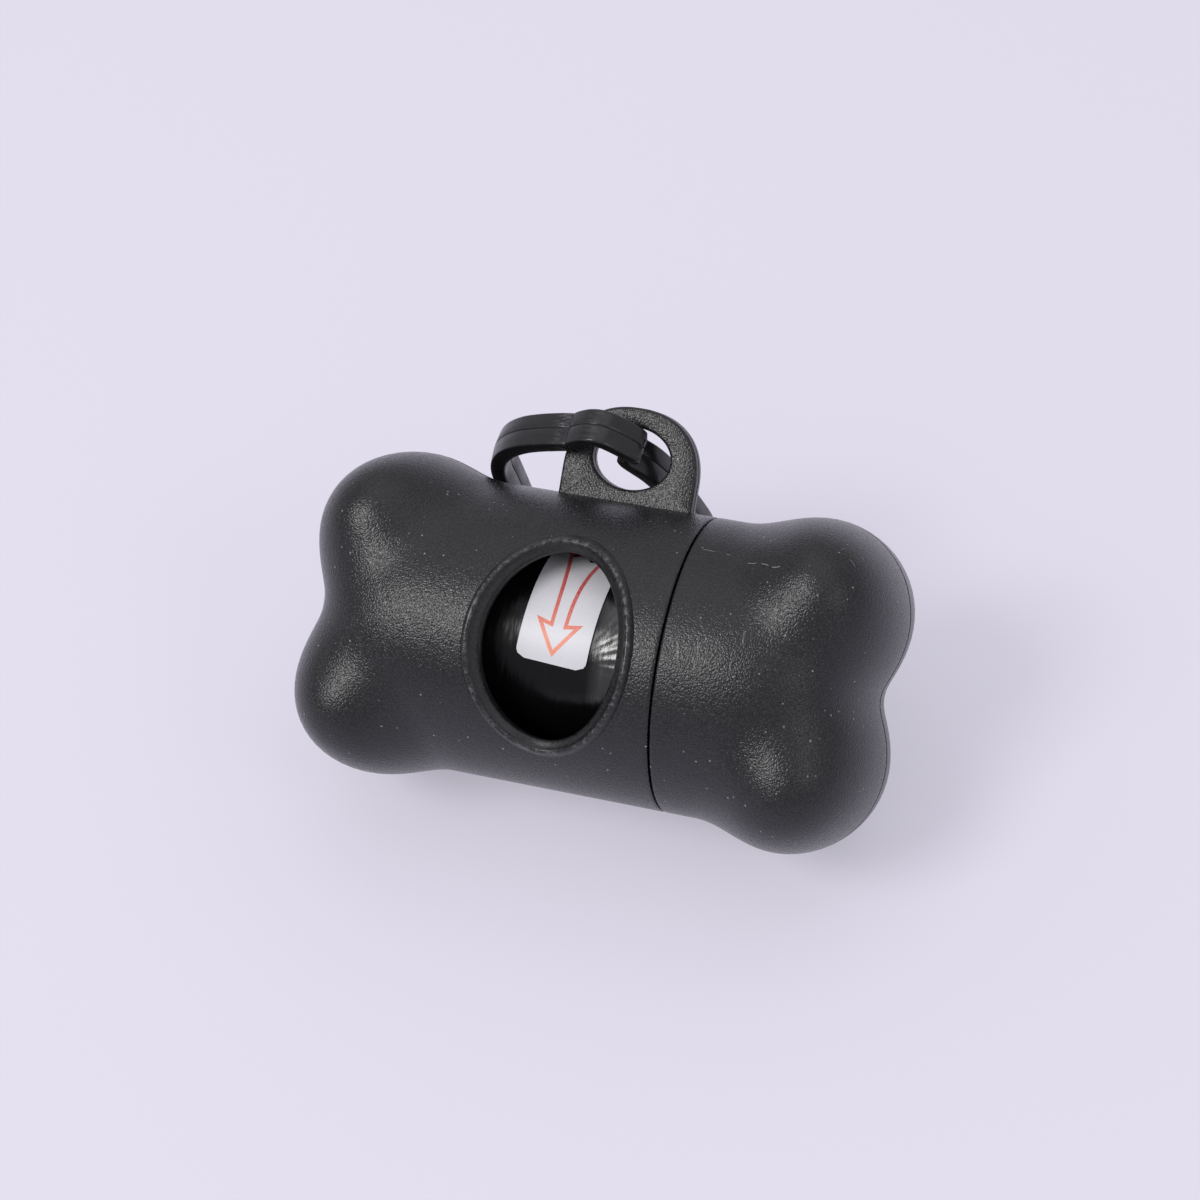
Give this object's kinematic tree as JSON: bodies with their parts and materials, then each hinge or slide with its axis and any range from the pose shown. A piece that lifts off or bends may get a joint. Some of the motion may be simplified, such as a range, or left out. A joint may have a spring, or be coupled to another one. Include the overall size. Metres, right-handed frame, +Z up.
{
  "type": "dog waste bag dispenser",
  "caption": "Bone-shaped pocket dispenser for a roll of waste bags, with an oval pull window, a pull-off end cap, a hanging lug and a moulded spring clip.",
  "frame": {"origin": "centre of the footprint box on the floor, below the roll", "axes": "+X along the roll towards the cap, +Y to the back where the clip hangs, +Z up"},
  "size_m": [0.0792, 0.0554, 0.0484],
  "materials": {
    "shell_plastic": "fine spark-eroded grain",
    "rim_plastic": "smooth satin",
    "neck_plastic": "smooth moulded",
    "bag_film": "wound thin film",
    "core_board": "bare board",
    "sticker": "printed red arrow on white",
    "clip_plastic": "smooth satin with a parting line"
  },
  "bodies": {
    "dispenser_body": {"body_front_shell": "shell_plastic", "body_rear_shell": "shell_plastic", "window_rim": "rim_plastic", "neck_sleeve": "neck_plastic"},
    "end_cap": {"cap_front_shell": "shell_plastic", "cap_rear_shell": "shell_plastic", "cap_liner_ring": "neck_plastic"},
    "roll": {"bag_roll": "bag_film", "roll_core": "core_board", "start_label": "sticker"},
    "clip": {"clip_frame": "clip_plastic"},
    "gate": {"clip_gate": "clip_plastic"}
  },
  "joints": [
    {"name": "cap_pull", "type": "slide", "parent": "dispenser_body", "child": "end_cap", "axis": [1, 0, 0], "range_m": [0, 0.045]},
    {"name": "roll_spin", "type": "hinge", "parent": "dispenser_body", "child": "roll", "pos_m": [-0.00049, -0.00442, 0.02316], "axis": [1, 0, 0], "continuous": true},
    {"name": "clip_swing", "type": "hinge", "parent": "dispenser_body", "child": "clip", "pos_m": [-0.00019, 0.01511, 0.03955], "axis": [1, 0, 0], "range_deg": [0, 45]},
    {"name": "clip_gate_flex", "type": "hinge", "parent": "clip", "child": "gate", "pos_m": [-0.00799, 0.01351, 0.04554], "axis": [0, -0.9659, -0.2588], "range_deg": [0, 25], "stiffness_Nm_per_rad": 0.05}
  ]
}
